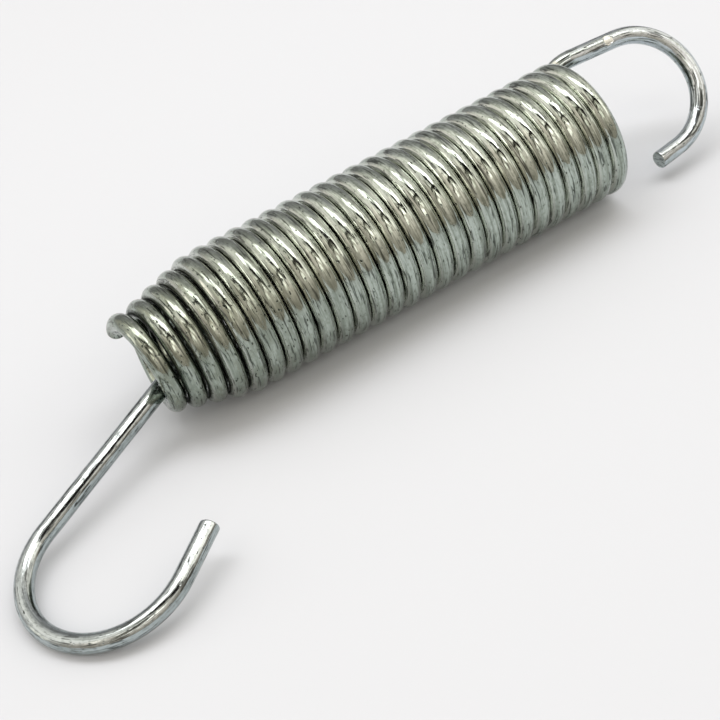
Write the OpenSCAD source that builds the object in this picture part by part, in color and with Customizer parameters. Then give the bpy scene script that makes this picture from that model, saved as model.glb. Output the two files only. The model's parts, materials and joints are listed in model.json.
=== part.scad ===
// Extension spring with a swivel hook: a close-wound coil whose last turn runs out into
// a long open hook, and a loose long-necked hook held by the tapered turns at the other end.
// The spring lies on its side. The origin is the centre of the fixed hook's round seat, +X
// points along the coil's axis toward that seat, and the floor touches the coil's lowest line.

/* [Wire] */
// Diameter of the round wire of both pieces
wire_d = 3; // [2.4:0.1:3.4]

/* [Coil] */
// Mean diameter of the full turns
coil_mean_d = 21.1; // [20:0.1:26]
// Clearance between neighbouring turns
turn_gap = 0.1; // [0.1:0.05:0.6]
// Number of whole turns between the fixed hook and the mouth
turns = 27; // [14:1:32]
// Mean diameter at the mouth, where the taper ends
mouth_mean_d = 13.8; // [13:0.1:15]
// Number of turns that the taper takes
taper_turns = 4.3; // [3:0.1:8]
// Angle of wire that goes on past the last whole turn to the cut end
free_end_angle = 8; // [0:1:90]
// Distance along the axis by which the last turn's cut end springs open
end_lift = 0.55; // [0:0.05:1]
// Distance outward by which the cut end springs open
end_spread = 0.4; // [0:0.05:0.8]

/* [Fixed hook] */
// Inside radius of the bend where the last turn leaves for the hook
bend_inner_r = 1.5; // [1:0.1:3]
// Distance from the last turn to the centre of the hook's round seat
hook_reach = 11.45; // [9:0.05:20]
// Mean radius of the hook's round seat
hook_mean_r = 10.45; // [8:0.05:12]
// Angle by which the round seat stops short of a half circle
hook_short_angle = 7; // [0:1:30]
// Straight wire from the round seat to the cut end
hook_tip = 4.6; // [1:0.1:6]
// Angle of the hook's plane above the horizontal, as the spring lies
hook_roll = 48; // [0:1:90]

/* [Swivel hook] */
// Distance from the centre of the hidden eye to the start of the hook's round seat
neck_reach = 40.9; // [34:0.1:70]
// Mean radius of the hook's round seat
swivel_mean_r = 12.8; // [8:0.1:16]
// Angle that the round seat turns through
swivel_sweep = 192; // [170:1:210]
// Straight wire from the round seat to the cut end
swivel_tip = 9; // [2:0.1:14]
// Mean radius of the hidden eye, too wide for the mouth
eye_mean_r = 4.6; // [4.4:0.05:5]
// Mean radius of the small turn from the neck into the eye
eye_turn_r = 3; // [2.5:0.1:4]
// Angle left open in the eye, between its small turn and its cut end
eye_open_angle = 58; // [56:1:90]

/* [Rest] */
// Clearance between the neck and the mouth that it leans on
neck_gap = 0.22; // [0.1:0.01:0.5]
// Clearance between the eye and the taper that holds it back
eye_gap = 0.25; // [0.1:0.01:0.5]
// Clearance between the eye and the side of the full turns
eye_side_gap = 0.6; // [0.5:0.05:1.5]
// Angle round the axis, from the horizontal, to which the eye lies off centre
eye_side_angle = -27; // [-45:1:0]

/* [Hidden] */
$fn = 48;
wire_r = wire_d / 2;
pitch = wire_d + turn_gap;
coil_r = coil_mean_d / 2;
mouth_r = mouth_mean_d / 2;
half_turns = 2 * turns;
sleeve_len = 0.1;
sleeve_over = 0.01;

// The fixed hook: a quarter bend, a leg that touches bend and seat, the seat and the tip
bend_r = bend_inner_r + wire_r;
bend_x = bend_r - hook_reach;
bend_y = norm([coil_r, bend_r]) - bend_r;
bend_lead = atan2(bend_r, coil_r);
leg_span = norm([bend_x, bend_y]);
leg_angle = acos((hook_mean_r - bend_r) / leg_span) - atan2(-bend_x, bend_y);
leg_len = sqrt(leg_span * leg_span - pow(hook_mean_r - bend_r, 2));
coil_roll = hook_roll - bend_lead;

// The eye of the swivel hook, centred on the line of its neck
eye_outer_r = eye_mean_r + wire_r;
neck_start = sqrt(eye_mean_r * eye_mean_r + 2 * eye_turn_r * eye_mean_r);
eye_start_angle = atan2(eye_turn_r, neck_start);

// Where the swivel hook comes to rest: its eye lies on the side of the bore, as far out as
// the taper lets it, its round seat lies on the floor, and its neck leans on the mouth
eye_off_axis = coil_r - wire_r - eye_outer_r - eye_side_gap;
eye_y = eye_off_axis * cos(eye_side_angle);
eye_z = eye_off_axis * sin(eye_side_angle);
neck_slope = asin((eye_z + coil_r) / (neck_reach + swivel_mean_r));
taper_wire = [
    for (j = [half_turns - ceil(2 * taper_turns) - 4 : half_turns - 1], w = [0 : 5 : 175])
        on_axes(wire_point(j, w)),
    for (w = [0 : 5 : free_end_angle])
        on_axes(wire_point(half_turns, w))
];
eye_x = rest_eye_x(-hook_reach - half_turns * pitch / 2, -hook_reach, 16);
neck_yaw = rest_yaw(0, 45, 14);

// Radius of the centre line j half turns back from the fixed hook
function turn_r(j) =
    coil_r - (coil_r - mouth_r) * max(0, 1 - (turns - j / 2) / taper_turns);

// The centre line j half turns back: along the axis, and to one side of it or the other
function turn_end(j) =
    let (sprung = j < half_turns ? 0 : 1)
    [
        -hook_reach - j * pitch / 2 - sprung * end_lift,
        (j % 2 == 0 ? 1 : -1) * (turn_r(j) + sprung * end_spread)
    ];

// A point of half turn j, at an angle w round the half circle between its two ends
function wire_point(j, w) =
    let (a = turn_end(j), b = turn_end(j + 1))
    let (across = cos(w) * (a - b) / 2, out = sin(w) * norm(a - b) / 2)
    [(a[0] + b[0]) / 2 + across[0], (a[1] + b[1]) / 2 + across[1], j % 2 == 0 ? -out : out];

// The same point once the coil is rolled to where its hook's plane slants as it lies
function on_axes(p) = [
    p[0],
    p[1] * cos(coil_roll) - p[2] * sin(coil_roll),
    p[1] * sin(coil_roll) + p[2] * cos(coil_roll)
];

// Direction of the neck, away from its eye
function neck_way(yaw) =
    [-cos(yaw) * cos(neck_slope), -sin(yaw) * cos(neck_slope), -sin(neck_slope)];

// Clearance of the tapered turns from a ball round the eye, and from the neck
function eye_room(x) =
    min([for (p = taper_wire) norm(p - [x, eye_y, eye_z])]) - wire_r - eye_outer_r;
function neck_room(yaw) =
    let (way = neck_way(yaw), eye = [eye_x, eye_y, eye_z])
    min([for (p = taper_wire) if ((p - eye) * way > neck_start) norm(cross(p - eye, way))]) - wire_d;

// Each of these halves a span until the clearance above is met
function rest_eye_x(tight, free, steps) =
    steps == 0 ? free
    : eye_room((tight + free) / 2) < eye_gap ? rest_eye_x((tight + free) / 2, free, steps - 1)
    : rest_eye_x(tight, (tight + free) / 2, steps - 1);
function rest_yaw(free, tight, steps) =
    steps == 0 ? free
    : neck_room((free + tight) / 2) < neck_gap ? rest_yaw(free, (free + tight) / 2, steps - 1)
    : rest_yaw((free + tight) / 2, tight, steps - 1);

// A sleeve too thin to see, round the place where two lengths of wire meet end to end
module sleeve() {
    rotate([0, 90, 0])
        cylinder(h = sleeve_len, d = wire_d + sleeve_over, center = true);
}

// Straight wire from the origin along +X. What follows goes on from its end
module feed(len) {
    rotate([0, 90, 0])
        cylinder(h = len, d = wire_d);
    if ($children > 0)
        translate([len, 0, 0]) {
            sleeve();
            children();
        }
}

// Wire that leaves the origin along +X and bends toward +Y. What follows goes on from its end
module bend(r, angle) {
    translate([0, r, 0])
        rotate([0, 0, -90]) {
            rotate_extrude(angle = angle)
                translate([r, 0])
                    circle(d = wire_d);
            if ($children > 0)
                rotate([0, 0, angle])
                    translate([r, 0, 0])
                        rotate([0, 0, 90]) {
                            sleeve();
                            children();
                        }
        }
}

// Turns the wire about its own line, so that what follows bends another way
module roll(angle) {
    rotate([angle, 0, 0])
        children();
}

// One half turn, from its end nearer the fixed hook to the one nearer the mouth
module half_turn(j, sweep) {
    a = turn_end(j);
    b = turn_end(j + 1);
    lean = atan2(b[1] - a[1], b[0] - a[0]) - 90;
    translate([a[0], a[1], 0])
        rotate([0, j % 2 == 0 ? 90 : -90, lean]) {
            sleeve();
            bend(norm(b - a) / 2, sweep);
        }
}

module wound_turns() {
    for (j = [0 : half_turns - 1])
        half_turn(j, 180);
    half_turn(half_turns, free_end_angle);
}

// The last turn bends into line with the axis, then runs out as the leg and round the seat
module fixed_hook() {
    translate([-hook_reach, coil_r, 0])
        rotate([-90, -90, 0])
            bend(bend_r, 90)
                roll(bend_lead - 90)
                    bend(bend_r, leg_angle)
                        feed(leg_len)
                            bend(hook_mean_r, 180 - leg_angle - hook_short_angle)
                                feed(hook_tip);
}

module coil() {
    color("silver")
        rotate([coil_roll, 0, 0])
            union() {
                wound_turns();
                fixed_hook();
            }
}

// From the cut end of the eye, round the eye, along the neck and round the seat
module swivel_hook() {
    color("lightgray")
        translate([eye_x, eye_y, eye_z])
            rotate([0, neck_slope, 180 + neck_yaw])
                rotate([0, 0, eye_open_angle - eye_start_angle])
                    translate([eye_mean_r, 0, 0])
                        rotate([0, 0, 90])
                            bend(eye_mean_r, 360 - eye_open_angle)
                                roll(180)
                                    bend(eye_turn_r, 90 - eye_start_angle)
                                        roll(180)
                                            feed(neck_reach - neck_start)
                                                bend(swivel_mean_r, swivel_sweep)
                                                    feed(swivel_tip);
}

coil();
swivel_hook();
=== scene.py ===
import json
import math

import bmesh
import bpy
from mathutils import Matrix, Quaternion, Vector


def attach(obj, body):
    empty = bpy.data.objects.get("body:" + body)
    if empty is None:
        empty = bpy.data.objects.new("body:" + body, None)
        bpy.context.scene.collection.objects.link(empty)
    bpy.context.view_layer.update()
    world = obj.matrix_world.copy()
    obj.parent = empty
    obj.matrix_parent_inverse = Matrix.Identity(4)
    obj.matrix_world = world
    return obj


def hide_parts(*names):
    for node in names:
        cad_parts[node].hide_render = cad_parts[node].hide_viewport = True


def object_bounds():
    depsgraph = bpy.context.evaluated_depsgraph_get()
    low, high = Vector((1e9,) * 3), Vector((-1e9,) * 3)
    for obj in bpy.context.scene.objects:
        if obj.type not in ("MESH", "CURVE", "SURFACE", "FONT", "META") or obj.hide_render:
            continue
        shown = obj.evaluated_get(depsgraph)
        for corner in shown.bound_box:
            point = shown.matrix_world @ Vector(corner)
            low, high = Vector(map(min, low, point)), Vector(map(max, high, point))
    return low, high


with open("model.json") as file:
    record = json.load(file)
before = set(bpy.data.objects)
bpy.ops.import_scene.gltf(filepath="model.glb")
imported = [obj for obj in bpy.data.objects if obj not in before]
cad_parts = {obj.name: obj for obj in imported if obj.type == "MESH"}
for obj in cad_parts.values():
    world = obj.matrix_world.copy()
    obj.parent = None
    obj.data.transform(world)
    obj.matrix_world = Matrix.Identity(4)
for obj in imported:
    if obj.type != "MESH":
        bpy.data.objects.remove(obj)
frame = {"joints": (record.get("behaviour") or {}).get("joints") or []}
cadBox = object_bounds()
print("frame loaded")


# node trees

class Signal:
    # one output socket of a node, so that shader and shape maths reads as a plain expression
    def __init__(self, tree, socket):
        self.tree = tree
        self.socket = socket

    def math(self, operation, *values):
        return self.tree.node("ShaderNodeMath", {"operation": operation}, list(values))

    def __add__(self, other):
        return self.math("ADD", self, other)

    def __sub__(self, other):
        return self.math("SUBTRACT", self, other)

    def __rsub__(self, other):
        return self.math("SUBTRACT", other, self)

    def __mul__(self, other):
        return self.math("MULTIPLY", self, other)

    def __truediv__(self, other):
        return self.math("DIVIDE", self, other)

    __radd__ = __add__
    __rmul__ = __mul__

    def smooth(self, low, high):
        return self.tree.node(
            "ShaderNodeMapRange",
            {"interpolation_type": "SMOOTHSTEP"},
            {"Value": self, "From Min": low, "From Max": high},
        )

    def above(self, limit):
        return self.math("GREATER_THAN", self, limit)

    def below(self, limit):
        return self.math("LESS_THAN", self, limit)

    def output(self, name):
        return Signal(self.tree, self.socket.node.outputs[name])


class Tree:
    # a node tree, with one way to add any node to it
    def __init__(self, nodeTree):
        self.nodeTree = nodeTree

    def node(self, kind, settings=None, sockets=None, output=0):
        made = self.nodeTree.nodes.new(kind)
        for name, value in (settings or {}).items():
            setattr(made, name, value)
        pairs = enumerate(sockets) if isinstance(sockets, list) else (sockets or {}).items()
        for key, value in pairs:
            self.feed(made.inputs[key], value)
        return Signal(self, made.outputs[output]) if len(made.outputs) else made

    def feed(self, socket, value):
        if isinstance(value, Signal):
            self.nodeTree.links.new(value.socket, socket)
        else:
            socket.default_value = value

    def vector(self, operation, *values):
        return self.node("ShaderNodeVectorMath", {"operation": operation}, list(values))

    def capture(self, geometry, values):
        # keeps values of the path or the ring, for use on the swept wire
        kept = self.node("GeometryNodeCaptureAttribute", {"domain": "POINT"}, [geometry])
        for name, value in values.items():
            kind = "VECTOR" if value.socket.type == "VECTOR" else "FLOAT"
            kept.socket.node.capture_items.new(kind, name)
            self.feed(kept.socket.node.inputs[name], value)
        return kept

    def mixColour(self, share, first, second):
        # the mix node has sockets of the same names for each kind, so the colours go by number
        sockets = {"Factor": share, 6: first, 7: second}
        return self.node("ShaderNodeMix", {"data_type": "RGBA"}, sockets, 2)


def newMaterial(name):
    material = bpy.data.materials.new(name)
    material.use_nodes = True
    material.node_tree.nodes.clear()
    return material, Tree(material.node_tree)


# camera

cameraSettings = {
    "place": Vector((-0.13508, -0.19193, 0.15222)),
    "lookAt": Vector((-0.07004, -0.02301, 0.0)),
    "rollDegrees": 15.53,
    "lensMillimetres": 81.5,
    "nearClip": 0.01,
}


def placeCamera():
    camera = bpy.data.objects.new("photoCamera", bpy.data.cameras.new("photoCamera"))
    bpy.context.scene.collection.objects.link(camera)
    camera.data.lens = cameraSettings["lensMillimetres"]
    camera.data.clip_start = cameraSettings["nearClip"]
    level = (cameraSettings["lookAt"] - cameraSettings["place"]).to_track_quat("-Z", "Y")
    roll = Quaternion((0, 0, 1), -math.radians(cameraSettings["rollDegrees"]))
    camera.rotation_mode = "QUATERNION"
    camera.rotation_quaternion = level @ roll
    camera.location = cameraSettings["place"]
    bpy.context.scene.camera = camera
    print("camera placed")


# wire, bent as on a bench: lengths fed straight, bends, and rolls about the wire's own line

wireSettings = {
    "diameter": 0.003,
    "ringSides": 24,
    "bendStepDegrees": 5,
    "weldDistance": 0.00005,
}
wireRadius = wireSettings["diameter"] / 2


def bentPath(start, steps):
    # the centre line of a wire that leaves the start along its X and bends toward its Y
    place = start.copy()
    points = [place.translation.copy()]
    for step in steps:
        if step[0] == "feed":
            place = place @ Matrix.Translation((step[1], 0, 0))
            points.append(place.translation.copy())
        elif step[0] == "roll":
            place = place @ Matrix.Rotation(math.radians(step[1]), 4, "X")
        else:
            radius, angle = step[1:]
            count = max(2, math.ceil(angle / wireSettings["bendStepDegrees"]))
            turn = math.radians(angle) / count
            hub = Matrix.Translation((0, radius, 0))
            for _ in range(count):
                place = place @ hub @ Matrix.Rotation(turn, 4, "Z") @ hub.inverted()
                points.append(place.translation.copy())
    return points


def pathObject(name, points):
    curve = bpy.data.curves.new(name, "CURVE")
    curve.dimensions = "3D"
    spline = curve.splines.new("POLY")
    spline.points.add(len(points) - 1)
    for point, place in zip(spline.points, points):
        point.co = (*place, 1)
    made = bpy.data.objects.new(name, curve)
    bpy.context.scene.collection.objects.link(made)
    return made


def addInput(nodeTree, name, kind, value=None):
    socket = nodeTree.interface.new_socket(name, in_out="INPUT", socket_type=kind)
    if value is not None:
        socket.default_value = value


def shapeTree(name):
    nodeTree = bpy.data.node_groups.new(name, "GeometryNodeTree")
    nodeTree.interface.new_socket("Geometry", in_out="INPUT", socket_type="NodeSocketGeometry")
    nodeTree.interface.new_socket("Geometry", in_out="OUTPUT", socket_type="NodeSocketGeometry")
    return nodeTree


def windTree():
    # winds the close turns and the taper, and joins them to the wire that comes in
    nodeTree = shapeTree("windTurns")
    for name, value in (
        ("Turns", 27.0),
        ("Turn Points", 96.0),
        ("Coil Radius", 0.01),
        ("Mouth Radius", 0.007),
        ("Taper Turns", 4.0),
        ("Pitch", 0.003),
        ("Reach", 0.01),
        ("Start Angle", 0.0),
        ("Free End Turns", 0.0),
        ("End Lift", 0.0),
        ("End Spread", 0.0),
        ("Sprung Turns", 0.5),
        ("Weld Distance", 0.00005),
    ):
        addInput(nodeTree, name, "NodeSocketFloat", value)
    tree = Tree(nodeTree)
    given = tree.node("NodeGroupInput")
    turnPoints = given.output("Turn Points")
    lastTurn = given.output("Turns")
    total = lastTurn + given.output("Free End Turns")
    count = tree.node("FunctionNodeFloatToInt", None, [total * turnPoints])
    row = tree.node("GeometryNodeMeshLine", None, {"Count": count.math("ADD", count, 1)})
    index = tree.node("GeometryNodeInputIndex")
    turn = index / turnPoints
    past = 1 - (lastTurn - turn) / given.output("Taper Turns")
    taper = past.math("MAXIMUM", past, 0)
    coilRadius = given.output("Coil Radius")
    sprung = turn.smooth(lastTurn - given.output("Sprung Turns"), lastTurn)
    radius = coilRadius - (coilRadius - given.output("Mouth Radius")) * taper
    radius = radius + sprung * given.output("End Spread")
    angle = given.output("Start Angle") - turn * math.tau
    along = 0 - given.output("Reach") - turn * given.output("Pitch")
    along = along - sprung * given.output("End Lift")
    across = radius * angle.math("COSINE", angle)
    upward = radius * angle.math("SINE", angle)
    place = tree.node("ShaderNodeCombineXYZ", None, [along, across, upward])
    turns = tree.node("GeometryNodeSetPosition", None, {"Geometry": row, "Position": place})
    hook = tree.node("GeometryNodeCurveToMesh", None, {"Curve": given})
    both = tree.node("GeometryNodeJoinGeometry")
    for part in (turns, hook):
        nodeTree.links.new(part.socket, both.socket.node.inputs[0])
    welded = tree.node(
        "GeometryNodeMergeByDistance",
        None,
        {"Geometry": both, "Distance": given.output("Weld Distance")},
    )
    curve = tree.node("GeometryNodeMeshToCurve", None, {"Mesh": welded})
    tree.node("NodeGroupOutput", None, [curve])
    return nodeTree


def drawTree():
    # sweeps the round wire along its path and stores three things for its finish: where each point
    # lies on the wire (along it, and its place in the section), how far it faces away from the
    # coil's axis, and whether another turn lies beside it
    nodeTree = shapeTree("drawWire")
    addInput(nodeTree, "Wire Radius", "NodeSocketFloat", 0.0015)
    addInput(nodeTree, "Ring Sides", "NodeSocketInt", 24)
    addInput(nodeTree, "Mouth", "NodeSocketFloat", 0.0)
    addInput(nodeTree, "Last Turn", "NodeSocketFloat", 0.0)
    addInput(nodeTree, "Finish", "NodeSocketMaterial")
    tree = Tree(nodeTree)
    given = tree.node("NodeGroupInput")
    wireR = given.output("Wire Radius")
    here = tree.node("GeometryNodeInputPosition")
    along = tree.node("GeometryNodeSplineParameter", None, None, "Length")
    path = tree.capture(given, {"Along": along, "Centre": here})
    ring = tree.node(
        "GeometryNodeCurvePrimitiveCircle",
        None,
        {"Resolution": given.output("Ring Sides"), "Radius": wireR},
    )
    ring = tree.capture(ring, {"Section": here})
    wire = tree.node(
        "GeometryNodeCurveToMesh", None, {"Curve": path, "Profile Curve": ring, "Fill Caps": True}
    )
    section = tree.node("ShaderNodeSeparateXYZ", None, [ring.output("Section")])
    wirePlace = tree.node(
        "ShaderNodeCombineXYZ", None, [path.output("Along"), section, section.output("Y")]
    )
    centre = path.output("Centre")
    spoke = tree.vector("NORMALIZE", tree.vector("MULTIPLY", centre, (0, 1, 1)))
    offset = tree.vector("SUBTRACT", here, centre)
    outward = tree.vector("DOT_PRODUCT", offset, spoke).output("Value") / wireR
    sideways = tree.node("ShaderNodeSeparateXYZ", None, [offset])
    middle = tree.node("ShaderNodeSeparateXYZ", None, [centre])
    beside = middle + sideways * 2
    neighbour = beside.above(given.output("Mouth")) * beside.below(given.output("Last Turn"))
    marked = wire
    for name, kind, value in (
        ("wirePlace", "FLOAT_VECTOR", wirePlace),
        ("outward", "FLOAT", outward),
        ("neighbour", "FLOAT", neighbour),
    ):
        marked = tree.node(
            "GeometryNodeStoreNamedAttribute",
            {"data_type": kind, "domain": "POINT"},
            {"Geometry": marked, "Name": name, "Value": value},
        )
    solid = tree.node("GeometryNodeRealizeInstances", None, {"Geometry": marked})
    finished = tree.node(
        "GeometryNodeSetMaterial", None, {"Geometry": solid, "Material": given.output("Finish")}
    )
    tree.node("NodeGroupOutput", None, [finished])
    return nodeTree


def drawValues(finish):
    return {
        "Wire Radius": wireRadius,
        "Ring Sides": wireSettings["ringSides"],
        "Finish": finish,
    }


def applyTrees(source, name, stages):
    # runs the trees over the path and keeps the result as a plain mesh
    for nodeTree, values in stages:
        modifier = source.modifiers.new(nodeTree.name, "NODES")
        modifier.node_group = nodeTree
        for item in nodeTree.interface.items_tree:
            if item.in_out == "INPUT" and item.name in values:
                modifier[item.identifier] = values[item.name]
    evaluated = source.evaluated_get(bpy.context.evaluated_depsgraph_get())
    mesh = bpy.data.meshes.new_from_object(evaluated)
    mesh.name = name
    bpy.data.objects.remove(source)
    made = bpy.data.objects.new(name, mesh)
    bpy.context.scene.collection.objects.link(made)
    made.data.shade_smooth()
    return made


# cut ends: sheared a little out of square, with a dished face and a rim rolled over by the blade

cutSettings = {
    # each ring of the end: how far back it lies, and its share of the wire's radius
    "rings": [
        (0.00032, 1.0),
        (0.0002, 0.997),
        (0.00011, 0.975),
        (0.000045, 0.93),
        (0.0, 0.85),
        (0.00003, 0.6),
        (0.00007, 0.3),
    ],
    # how far the shears push the face out of square, as a share of the way across it
    "slant": 0.11,
}


def finishEnds(piece, shearDegrees):
    s = cutSettings
    shape = bmesh.new()
    shape.from_mesh(piece.data)
    places = shape.verts.layers.float_vector["wirePlace"]
    neighbours = shape.verts.layers.float["neighbour"]
    # only the two flat ends of the swept wire have more than four corners
    caps = [face for face in shape.faces if len(face.verts) > 4]
    caps.sort(key=lambda face: face.verts[0][places].x)
    for cap, side, degrees in zip(caps, (1, -1), shearDegrees):
        rim = list(cap.verts)
        middle = cap.calc_center_median()
        outward = cap.normal.copy()
        spokes = [vert.co - middle for vert in rim]
        marks = [vert[places].copy() for vert in rim]
        quarter = len(rim) // 4
        turn = math.radians(degrees)
        shearWay = spokes[0] * math.cos(turn) + spokes[quarter] * math.sin(turn)
        bmesh.ops.delete(shape, geom=[cap], context="FACES_ONLY")
        ring = rim
        for step, (back, share) in enumerate(s["rings"]):
            placed = []
            for old, spoke, mark in zip(ring, spokes, marks):
                slant = s["slant"] * (wireRadius + share * spoke.dot(shearWay) / wireRadius)
                away = back + slant
                vert = old if step == 0 else shape.verts.new()
                vert.co = middle + spoke * share - outward * away
                vert[places] = (mark.x + side * away, mark.y * share, mark.z * share)
                vert[neighbours] = 0.0
                placed.append(vert)
            if step:
                for i in range(len(ring)):
                    j = (i + 1) % len(ring)
                    shape.faces.new((ring[i], ring[j], placed[j], placed[i]))
            ring = placed
        shape.faces.new(ring)
    bmesh.ops.recalc_face_normals(shape, faces=shape.faces)
    for face in shape.faces:
        face.smooth = True
    shape.to_mesh(piece.data)
    shape.free()


# coil with its fixed hook

coilSettings = {
    "reach": 0.01145,
    "turns": 27.0,
    "pitch": 0.0031,
    "meanRadius": 0.01055,
    "mouthRadius": 0.0069,
    "taperTurns": 4.3,
    "freeEndDegrees": 8,
    "endLift": 0.00055,
    "endSpread": 0.0004,
    "sprungTurns": 0.5,
    "bendRadius": 0.003,
    "hookRadius": 0.01045,
    "hookShortDegrees": 7,
    "hookTip": 0.0046,
    "hookRollDegrees": 48,
    "turnPoints": 96,
    "hookShearDegrees": 60,
    "freeShearDegrees": 200,
}


def hookSteps():
    # a quarter bend out of the last turn, a leg that touches bend and seat, the seat and the tip
    s = coilSettings
    bendR, seatR = s["bendRadius"], s["hookRadius"]
    lead = math.degrees(math.atan2(bendR, s["meanRadius"]))
    hubX = bendR - s["reach"]
    hubY = math.hypot(s["meanRadius"], bendR) - bendR
    span = math.hypot(hubX, hubY)
    lean = math.degrees(math.acos((seatR - bendR) / span) - math.atan2(-hubX, hubY))
    leg = math.sqrt(span**2 - (seatR - bendR) ** 2)
    steps = [
        ("bend", bendR, 90),
        ("roll", lead - 90),
        ("bend", bendR, lean),
        ("feed", leg),
        ("bend", seatR, 180 - lean - s["hookShortDegrees"]),
        ("feed", s["hookTip"]),
    ]
    return lead, steps


def makeCoil(finish):
    s = coilSettings
    lead, steps = hookSteps()
    roll = s["hookRollDegrees"] - lead
    start = (
        Matrix.Rotation(math.radians(roll), 4, "X")
        @ Matrix.Translation((-s["reach"], s["meanRadius"], 0))
        @ Matrix.Rotation(math.radians(-90), 4, "Y")
        @ Matrix.Rotation(math.radians(-90), 4, "X")
    )
    path = pathObject("coilPath", bentPath(start, steps))
    wind = {
        "Turns": s["turns"],
        "Turn Points": float(s["turnPoints"]),
        "Coil Radius": s["meanRadius"],
        "Mouth Radius": s["mouthRadius"],
        "Taper Turns": s["taperTurns"],
        "Pitch": s["pitch"],
        "Reach": s["reach"],
        "Start Angle": math.radians(roll),
        "Free End Turns": s["freeEndDegrees"] / 360,
        "End Lift": s["endLift"],
        "End Spread": s["endSpread"],
        "Sprung Turns": s["sprungTurns"],
        "Weld Distance": wireSettings["weldDistance"],
    }
    draw = drawValues(finish)
    draw["Mouth"] = -s["reach"] - s["turns"] * s["pitch"]
    draw["Last Turn"] = -s["reach"]
    coil = applyTrees(path, "coil_wire", [(windTree(), wind), (drawTree(), draw)])
    finishEnds(coil, (s["hookShearDegrees"], s["freeShearDegrees"]))
    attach(coil, "spring")
    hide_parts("coil")
    print("coil wound:", len(coil.data.polygons), "faces")


# swivel hook, whose neck lies on the axis of its joint

swivelSettings = {
    "neckReach": 0.0409,
    "seatRadius": 0.0128,
    "seatDegrees": 192,
    "tip": 0.009,
    "eyeRadius": 0.0046,
    "eyeTurnRadius": 0.003,
    "eyeOpenDegrees": 58,
    "eyeShearDegrees": 90,
    "tipShearDegrees": 180,
}


def makeSwivelHook(finish):
    s = swivelSettings
    joint = frame["joints"][0]
    neckWay = Vector(joint["axis"]).normalized()
    tipWay = Vector((0, 0, 1)).cross(neckWay).normalized()
    basis = Matrix((neckWay, tipWay, neckWay.cross(tipWay))).transposed().to_4x4()
    eyeR, turnR = s["eyeRadius"], s["eyeTurnRadius"]
    neckStart = math.sqrt(eyeR**2 + 2 * eyeR * turnR)
    eyeStart = math.degrees(math.atan2(turnR, neckStart))
    start = (
        Matrix.Translation(joint["pos_m"])
        @ basis
        @ Matrix.Rotation(math.radians(s["eyeOpenDegrees"] - eyeStart), 4, "Z")
        @ Matrix.Translation((eyeR, 0, 0))
        @ Matrix.Rotation(math.radians(90), 4, "Z")
    )
    steps = [
        ("bend", eyeR, 360 - s["eyeOpenDegrees"]),
        ("roll", 180),
        ("bend", turnR, 90 - eyeStart),
        ("roll", 180),
        ("feed", s["neckReach"] - neckStart),
        ("bend", s["seatRadius"], s["seatDegrees"]),
        ("feed", s["tip"]),
    ]
    path = pathObject("swivelPath", bentPath(start, steps))
    hook = applyTrees(path, "swivel_hook_wire", [(drawTree(), drawValues(finish))])
    finishEnds(hook, (s["eyeShearDegrees"], s["tipShearDegrees"]))
    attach(hook, "hook")
    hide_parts("swivel_hook")
    print("swivel hook bent:", len(hook.data.polygons), "faces")


# finishes

wearSettings = {
    # noises on the wire: repeats per metre along it and across its section, detail, roughness
    "noises": {
        "lines": ((110, 2400, 2400), 1, 0.55),
        "fineLines": ((90, 3200, 3200), 1, 0.55),
        "grooves": ((60, 1100, 1100), 2, 0.55),
        "lumps": ((300, 800, 800), 2, 0.55),
        "dents": ((900, 1500, 1500), 1, 0.55),
        "scratches": ((260, 2600, 2600), 2, 0.5),
        "grain": ((1500, 2400, 2400), 1, 0.55),
        "cloud": ((420, 600, 600), 4, 0.7),
        "pits": ((1500, 2600, 2600), 1, 0.4),
        "shearMarks": ((300, 900, 3800), 1, 0.55),
    },
    # darker streaks: the span on each noise over which they show, and how much they darken
    "streaks": {
        "lines": (0.44, 0.62, 0.45),
        "grain": (0.48, 0.62, 0.4),
        "fineLines": (0.50, 0.56, 0.45),
    },
    "cleanStreaksLess": 0.4,
    "scratchSpan": (0.57, 0.64),
    "scratchShare": 0.7,
    "pitSpan": (0.70, 0.76),
    "pitsMoreWhereDull": 0.05,
    "pitShare": 0.85,
    "patinaCloudSpan": (0.42, 0.60),
    "patinaMottle": (0.35, 1.0),
    # painted shade between the turns where they meet, mixed with some dirt. Depth is 1 where two
    # turns meet and 0 on their crests
    "fullTurnsSpan": (-0.0925, -0.0865),
    "shadeAndDirtDepths": (0.80, 0.94),
    "shadeAndDirtNarrower": 0.06,
    "shadeAndDirtCloudSpan": (0.3, 0.6),
    "shadeAndDirtMottle": (0.88, 1.0),
    "shadeAndDirtFillsBump": 0.8,
    # painted shade and dirt in a wider band in the valleys of the taper, strongest at the mouth
    "taperShadeAndDirtDepths": (0.25, 0.95),
    "taperShadeAndDirtSpan": (-0.092, -0.068),
    "taperShadeAndDirtCloudSpan": (0.4, 0.6),
    "taperShadeAndDirtMottle": (0.45, 0.80),
    # painted sheen: lighter flanks beside the valleys of the full turns
    "sheenAndWearDepths": (0.15, 0.5),
    "sheenAndWearShare": 0.8,
    # tool marks, from their middles outward
    "markFadesFrom": 0.6,
    "scuffSpan": (0.40, 0.55),
    "scuffShare": 0.8,
    "scuffDepth": 0.00005,
    "brightShare": 0.9,
    "brightDepth": 0.00012,
    # cut faces, which lie nearer to the wire's centre line than its surface does
    "cutWithin": (0.00134, 0.00143),
    "shearMarkSpan": (0.48, 0.60),
    "shearMarkShare": 0.5,
    "addedRoughness": {"shadeAndDirt": 0.45, "cut": 0.3, "patina": 0.09, "clean": 0.07, "bright": 0.2},
}

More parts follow.
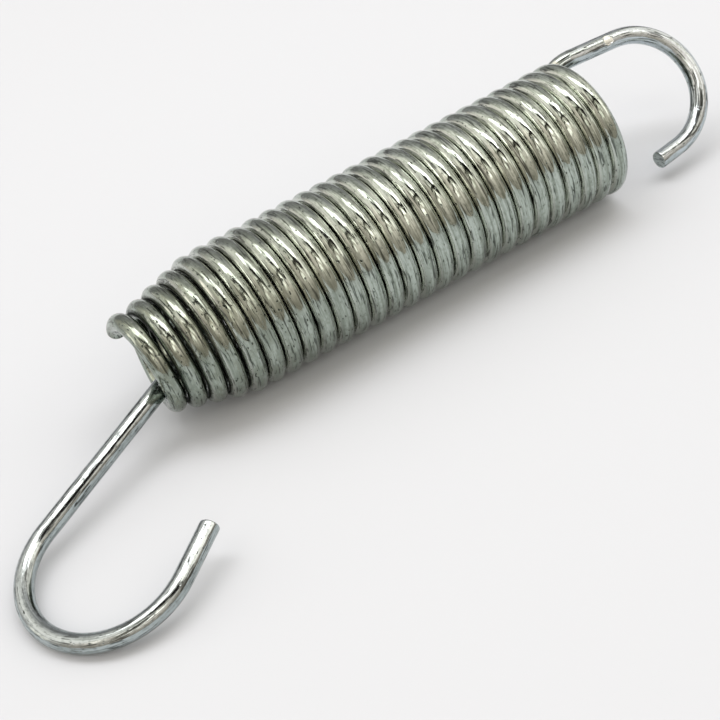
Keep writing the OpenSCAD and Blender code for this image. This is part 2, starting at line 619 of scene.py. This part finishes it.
coilFinishSettings = {
    "colour": (0.451, 0.507, 0.458, 1),
    "shade": (0.233, 0.270, 0.228, 1),
    "patina": (0.188, 0.210, 0.160, 1),
    "clean": (0.539, 0.600, 0.632, 1),
    # pale: painted sheen on the flanks beside the valleys, and the colour of bright tool marks
    "sheenAndWear": (0.651, 0.679, 0.623, 1),
    # near black: painted shade between the turns mixed with dirt, and the colour of scratches,
    # pits and scuffs
    "shadeAndDirt": (0.015, 0.019, 0.014, 1),
    "cut": (0.46, 0.51, 0.50, 1),
    # places along the axis: where the patina starts and is full, and the same for the clean end
    "patinaBetween": (-0.048, -0.092),
    "patinaShare": 0.9,
    "cleanBeyond": (-0.014, -0.006),
    "roughness": 0.06,
    "lineRoughness": 0.06,
    "lineHeight": 0.000022,
    "grooveHeight": 0.00004,
    "lumpHeight": 0.00007,
    "dentHeight": 0.00002,
    "pitDepth": 0.00004,
    # marks of the bending tools on the hook: where, how far they reach, and what they leave
    "marks": [
        ((-0.00116, 0.00594, 0.00883), 0.0010, "bright"),
        ((0.00817, -0.00408, -0.00281), 0.0024, "scuffed"),
        ((-0.00995, 0.00616, 0.00862), 0.0018, "scuffed"),
    ],
}

hookFinishSettings = {
    "colour": (0.437, 0.488, 0.488, 1),
    "shade": (0.242, 0.274, 0.270, 1),
    "patina": (0.298, 0.326, 0.288, 1),
    "clean": (0.437, 0.488, 0.488, 1),
    # pale: painted sheen on the flanks beside the valleys, and the colour of bright tool marks
    "sheenAndWear": (0.651, 0.679, 0.623, 1),
    # near black: painted shade between the turns mixed with dirt, and the colour of scratches,
    # pits and scuffs
    "shadeAndDirt": (0.018, 0.021, 0.018, 1),
    "cut": (0.46, 0.51, 0.50, 1),
    "patinaBetween": (-0.100, -0.085),
    "patinaShare": 0.5,
    # past the end of the spring: no part of the loose hook is cleaner than the rest
    "cleanBeyond": (0.05, 0.06),
    "roughness": 0.08,
    "lineRoughness": 0.08,
    "lineHeight": 0.00002,
    "grooveHeight": 0.00003,
    "lumpHeight": 0.00004,
    "dentHeight": 0.000015,
    "pitDepth": 0.00003,
    "marks": [],
}


def platedWire(name, settings):
    # drawn wire: lines from the die run along it, the bright plating is dulled and pitted, and
    # shade and sheen are painted between the turns
    w = wearSettings
    rougher = w["addedRoughness"]
    material, tree = newMaterial(name)

    def stored(attribute, output):
        return tree.node("ShaderNodeAttribute", {"attribute_name": attribute}, None, output)

    def noise(kind):
        stretch, detail, roughness = w["noises"][kind]
        return tree.node(
            "ShaderNodeTexNoise",
            None,
            {
                "Vector": tree.vector("MULTIPLY", wirePlace, stretch),
                "Scale": 1.0,
                "Detail": detail,
                "Roughness": roughness,
            },
        )

    def mottled(shares, span):
        least, most = shares
        return least + (most - least) * cloud.smooth(*span)

    wirePlace = stored("wirePlace", "Vector")
    outward = stored("outward", "Fac")
    valley = (1 - outward.math("ABSOLUTE", outward)) * stored("neighbour", "Fac")
    objectPlace = tree.node("ShaderNodeTexCoord", None, None, "Object")
    lengthwise = tree.node("ShaderNodeSeparateXYZ", None, [objectPlace])
    lines, dents, cloud = noise("lines"), noise("dents"), noise("cloud")

    # where each thing shows
    reach = tree.vector("LENGTH", tree.vector("MULTIPLY", wirePlace, (0, 1, 1))).output("Value")
    cut = 1 - reach.smooth(*w["cutWithin"])
    fullTurns = lengthwise.smooth(*w["fullTurnsSpan"])
    # painted shade between the turns, mixed with dirt; it also roughens the surface and fills the
    # bump
    shadeAndDirtStart, shadeAndDirtFull = w["shadeAndDirtDepths"]
    shadeAndDirt = valley.smooth(shadeAndDirtStart + w["shadeAndDirtNarrower"] * fullTurns, shadeAndDirtFull)
    shadeAndDirt = shadeAndDirt * mottled(w["shadeAndDirtMottle"], w["shadeAndDirtCloudSpan"])
    # a wider band of the same painted shade and dirt in the taper
    taperShadeAndDirt = valley.smooth(*w["taperShadeAndDirtDepths"]) * (1 - lengthwise.smooth(*w["taperShadeAndDirtSpan"]))
    taperShadeAndDirt = taperShadeAndDirt * mottled(w["taperShadeAndDirtMottle"], w["taperShadeAndDirtCloudSpan"])
    shadeAndDirt = shadeAndDirt + taperShadeAndDirt - shadeAndDirt * taperShadeAndDirt
    # painted sheen: the flanks beside the valleys made lighter
    sheenAndWear = valley.smooth(*w["sheenAndWearDepths"]) * fullTurns
    clean = lengthwise.smooth(*settings["cleanBeyond"])
    dull = 1 - lengthwise.smooth(*reversed(settings["patinaBetween"]))
    patina = dull * settings["patinaShare"] * mottled(w["patinaMottle"], w["patinaCloudSpan"])
    scratches = noise("scratches").smooth(*w["scratchSpan"])
    lower = w["pitsMoreWhereDull"] * dull
    pits = noise("pits").smooth(*(limit - lower for limit in w["pitSpan"]))
    streaks = 0
    for kind, (low, high, share) in w["streaks"].items():
        source = lines if kind == "lines" else noise(kind)
        streaks = streaks + source.smooth(low, high) * share
    streaks = streaks * (1 - w["cleanStreaksLess"] * clean)
    bright, scuffed = 0, 0
    for place, size, kind in settings["marks"]:
        off = tree.vector("DISTANCE", objectPlace, place).output("Value")
        mark = 1 - (off + (dents - 0.5) * size).smooth(w["markFadesFrom"] * size, size)
        if kind == "bright":
            bright = bright + mark
        else:
            scuffed = scuffed + mark * lines.smooth(*w["scuffSpan"])

    # what it does to the colour, the roughness and the height of the surface
    colour = tree.mixColour(clean, settings["colour"], settings["clean"])
    colour = tree.mixColour(patina, colour, settings["patina"])
    colour = tree.mixColour(streaks, colour, settings["shade"])
    # the painted sheen on the flanks
    colour = tree.mixColour(sheenAndWear * w["sheenAndWearShare"], colour, settings["sheenAndWear"])
    colour = tree.mixColour(scratches * w["scratchShare"], colour, settings["shadeAndDirt"])
    colour = tree.mixColour(pits * w["pitShare"], colour, settings["shadeAndDirt"])
    roughness = settings["roughness"] + lines * settings["lineRoughness"]
    roughness = roughness + shadeAndDirt * rougher["shadeAndDirt"] + cut * rougher["cut"]
    roughness = roughness + patina * rougher["patina"] + clean * rougher["clean"]
    height = lines * settings["lineHeight"] + noise("lumps") * settings["lumpHeight"]
    height = height + noise("grooves") * settings["grooveHeight"] + dents * settings["dentHeight"]
    height = (height - pits * settings["pitDepth"]) * (1 - w["shadeAndDirtFillsBump"] * shadeAndDirt)
    if settings["marks"]:
        colour = tree.mixColour(scuffed * w["scuffShare"], colour, settings["shadeAndDirt"])
        colour = tree.mixColour(bright * w["brightShare"], colour, settings["sheenAndWear"])
        roughness = roughness + bright * rougher["bright"]
        height = height - bright * w["brightDepth"] - scuffed * w["scuffDepth"]
    shearMarks = noise("shearMarks").smooth(*w["shearMarkSpan"]) * w["shearMarkShare"]
    cutFace = tree.mixColour(shearMarks, settings["cut"], settings["shadeAndDirt"])
    colour = tree.mixColour(cut, colour, cutFace)
    # the painted shade and dirt between the turns, over all else
    colour = tree.mixColour(shadeAndDirt, colour, settings["shadeAndDirt"])
    bump = tree.node("ShaderNodeBump", None, {"Strength": 1.0, "Distance": 1.0, "Height": height})
    shader = tree.node(
        "ShaderNodeBsdfPrincipled",
        None,
        {"Base Color": colour, "Metallic": 1.0, "Roughness": roughness, "Normal": bump},
    )
    tree.node("ShaderNodeOutputMaterial", None, {"Surface": shader})
    return material


# studio

studioSettings = {
    "floorColour": (0.590, 0.636, 0.680, 1),
    "floorSize": 6.0,
    "horizon": (0.54, 0.47, 0.40, 1),
    "nearWall": (1.32, 1.14, 1.01, 1),
    "farHorizon": (0.41, 0.39, 0.40, 1),
    "farWall": (0.74, 0.70, 0.68, 1),
    # heights over which the walls change colour and the patches begin, and where near turns to far
    "nearRise": (0.1, 0.7),
    "farRise": (0.2, 0.8),
    "patchRise": (0, 0.05),
    "nearToFar": (-0.2, 0.5),
    # patches of light and shade overhead, as seen in a plan of the sky: the middle, half the
    # length, half the width, the turn in plan, the softness of the sides, and the light
    "patches": [
        ((-0.08, 0.12), 0.80, 0.44, -33, 0.40, (1.52, 1.41, 1.31, 1)),
        ((0.86, 0.12), 0.20, 0.42, 0, 0.24, (1.35, 1.24, 1.13, 1)),
        ((-0.90, 0.41), 0.16, 0.07, 65, 0.08, (2.12, 1.94, 1.76, 1)),
        ((0.57, -0.31), 0.26, 0.16, -35, 0.09, (2.31, 2.11, 1.93, 1)),
        ((-0.62, -0.12), 0.06, 0.16, -33, 0.06, (2.09, 1.87, 1.67, 1)),
        ((-0.10, -0.46), 0.50, 0.11, 0, 0.05, (0.83, 0.74, 0.63, 1)),
        ((-0.03, -0.60), 0.20, 0.06, -18, 0.03, (3.41, 3.14, 2.86, 1)),
        ((-0.34, -0.72), 0.18, 0.05, -12, 0.03, (2.64, 2.42, 2.20, 1)),
        ((-0.36, -0.30), 0.18, 0.05, -33, 0.03, (2.50, 2.31, 2.11, 1)),
        ((-0.42, -0.57), 0.25, 0.035, 5, 0.02, (0.07, 0.06, 0.04, 1)),
        ((-0.14, -0.42), 0.44, 0.04, 0, 0.02, (0.02, 0.02, 0.01, 1)),
        ((0.10, -0.27), 0.46, 0.11, -33, 0.02, (0.0, 0.0, 0.0, 1)),
    ],
    # the overhead lamp: its way up, its distance, half its length and width as seen from the
    # spring, and its turn in plan
    "lampWay": (0.085, 0.13),
    "lampDistance": 0.5,
    "lampLength": 0.62,
    "lampWidth": 0.2,
    "lampTurn": -33,
    "lampLight": 3.0,
    "lampColour": (1.0, 0.945, 0.945),
}


def makeFloor():
    s = studioSettings
    half = s["floorSize"] / 2
    mesh = bpy.data.meshes.new("floor")
    corners = [(-half, -half), (half, -half), (half, half), (-half, half)]
    bottom = cadBox[0][2]
    mesh.from_pydata([(x, y, bottom) for x, y in corners], [], [(0, 1, 2, 3)])
    floor = bpy.data.objects.new("floor", mesh)
    bpy.context.scene.collection.objects.link(floor)
    material, tree = newMaterial("paleFloor")
    shader = tree.node("ShaderNodeBsdfDiffuse", None, {"Color": s["floorColour"]})
    tree.node("ShaderNodeOutputMaterial", None, {"Surface": shader})
    mesh.materials.append(material)


def makeSky():
    s = studioSettings
    world = bpy.data.worlds.new("studio")
    bpy.context.scene.world = world
    world.use_nodes = True
    world.node_tree.nodes.clear()
    sky = Tree(world.node_tree)
    way = sky.node("ShaderNodeTexCoord", None, None, "Generated")
    parts = sky.node("ShaderNodeSeparateXYZ", None, [way])
    height = parts.output("Z")
    near = sky.mixColour(height.smooth(*s["nearRise"]), s["horizon"], s["nearWall"])
    far = sky.mixColour(height.smooth(*s["farRise"]), s["farHorizon"], s["farWall"])
    colour = sky.mixColour(parts.output("Y").smooth(*s["nearToFar"]), near, far)
    for middle, halfLong, halfWide, turn, soft, light in s["patches"]:
        turn = math.radians(turn)
        longWay = Vector((math.cos(turn), math.sin(turn), 0))
        wideWay = Vector((-math.sin(turn), math.cos(turn), 0))
        share = height.smooth(*s["patchRise"])
        for axis, size in ((longWay, halfLong), (wideWay, halfWide)):
            off = sky.vector("DOT_PRODUCT", way, axis).output("Value")
            off = off - axis.xy.dot(Vector(middle))
            off = off.math("ABSOLUTE", off)
            share = share * (1 - off.smooth(size - soft / 2, size + soft / 2))
        colour = sky.mixColour(share, colour, light)
    back = sky.node("ShaderNodeBackground", None, {"Color": colour, "Strength": 1.0})
    sky.node("ShaderNodeOutputWorld", None, {"Surface": back})


def addLamp():
    s = studioSettings
    across = Vector(s["lampWay"])
    way = Vector((*across, math.sqrt(1 - across.length_squared)))
    lamp = bpy.data.lights.new("overheadLamp", "AREA")
    lamp.shape = "RECTANGLE"
    lamp.size = 2 * s["lampDistance"] * s["lampLength"]
    lamp.size_y = 2 * s["lampDistance"] * s["lampWidth"]
    lamp.energy = s["lampLight"] * math.pi * lamp.size * lamp.size_y
    lamp.color = s["lampColour"]
    made = bpy.data.objects.new("overheadLamp", lamp)
    bpy.context.scene.collection.objects.link(made)
    turn = math.radians(s["lampTurn"])
    sideways = Vector((math.cos(turn), math.sin(turn), 0))
    sideways = (sideways - way * way.dot(sideways)).normalized()
    facing = Matrix((sideways, way.cross(sideways), way)).transposed()
    middle = (Vector(cadBox[0]) + Vector(cadBox[1])) / 2
    place = Matrix.Translation(middle + way * s["lampDistance"])
    made.matrix_world = place @ facing.to_4x4()


placeCamera()
makeFloor()
makeSky()
addLamp()
print("studio set")
coilFinish = platedWire("platedCoilWire", coilFinishSettings)
hookFinish = platedWire("platedHookWire", hookFinishSettings)
makeCoil(coilFinish)
makeSwivelHook(hookFinish)

bpy.context.scene.view_settings.view_transform = "Standard"
